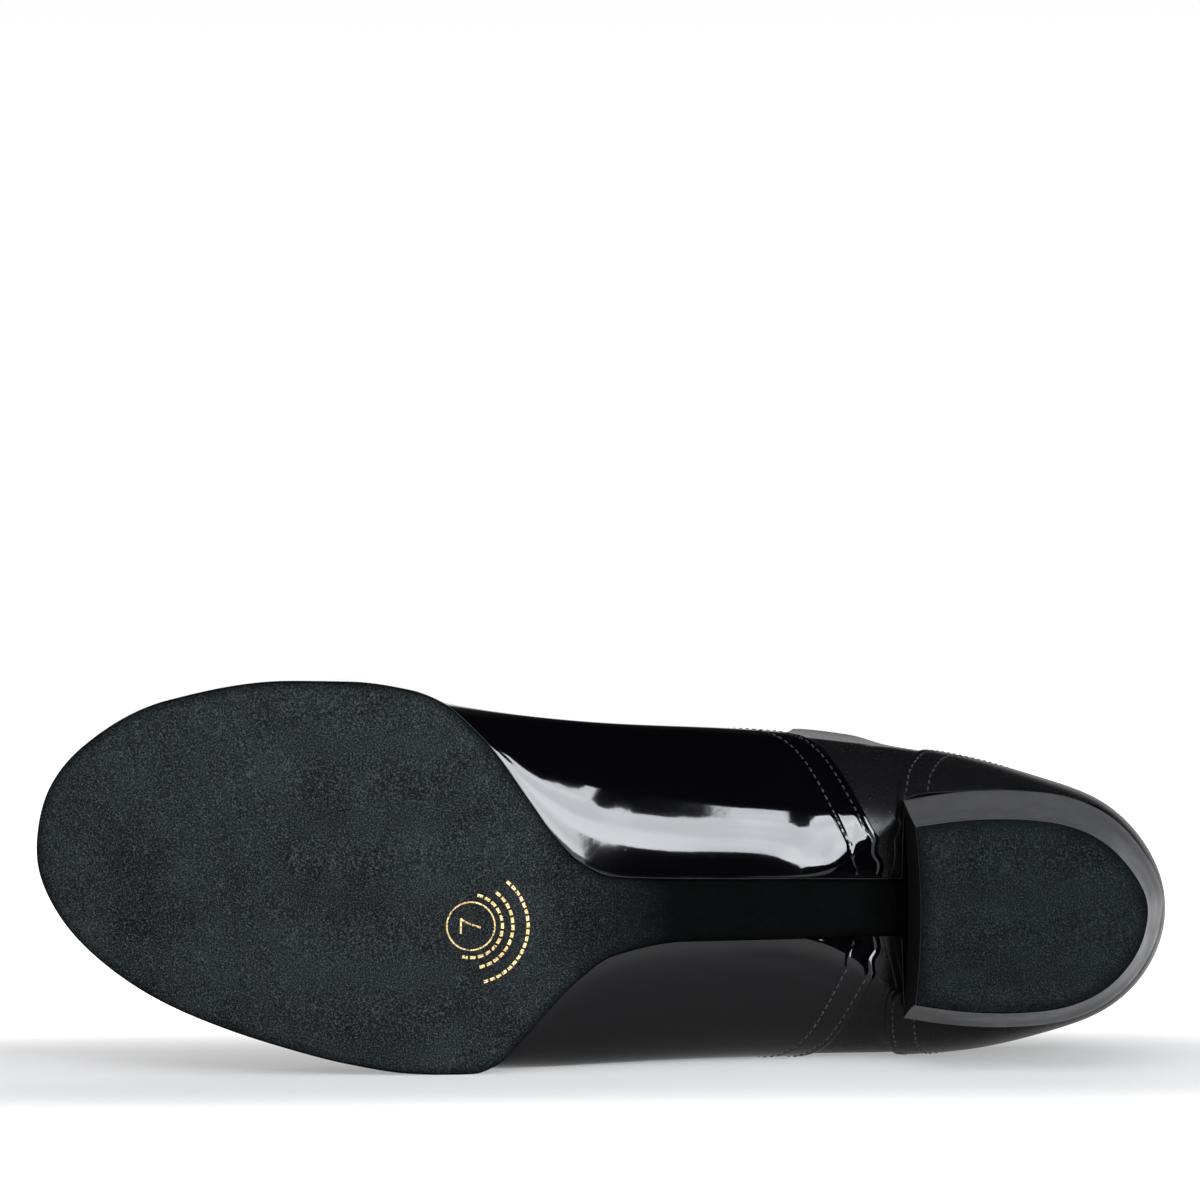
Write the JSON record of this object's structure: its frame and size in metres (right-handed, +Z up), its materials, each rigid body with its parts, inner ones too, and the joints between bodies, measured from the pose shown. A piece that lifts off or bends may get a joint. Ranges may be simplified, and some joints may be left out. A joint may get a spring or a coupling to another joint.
{
  "type": "ballroom dance shoe",
  "caption": "Low-heeled patent leather lace-up ballroom dance shoe for a right foot, with a suede sole, narrow waist and block heel, lying on its outer side.",
  "frame": {"origin": "middle of the box under the shoe, on the floor, with the shoe lying on its outer side", "axes": "+X from toe to heel, +Z up towards the inner side of the shoe, -Y the way the tread of the sole faces"},
  "size_m": [0.2898, 0.0972, 0.0988],
  "materials": {
    "upper": "black patent leather, mirror gloss",
    "outsole": "black suede split, matt napped",
    "insole": "smooth lining leather",
    "heel": "moulded block with satin black paint",
    "heel_tip": "black suede top piece",
    "tongue": "black patent leather with a soft lining",
    "lace": "waxed black cotton cord"
  },
  "bodies": {
    "root": {"upper": "upper", "outsole": "outsole", "insole": "insole", "heel": "heel", "heel_tip": "heel_tip", "tongue": "tongue", "lace": "lace"}
  },
  "joints": []
}
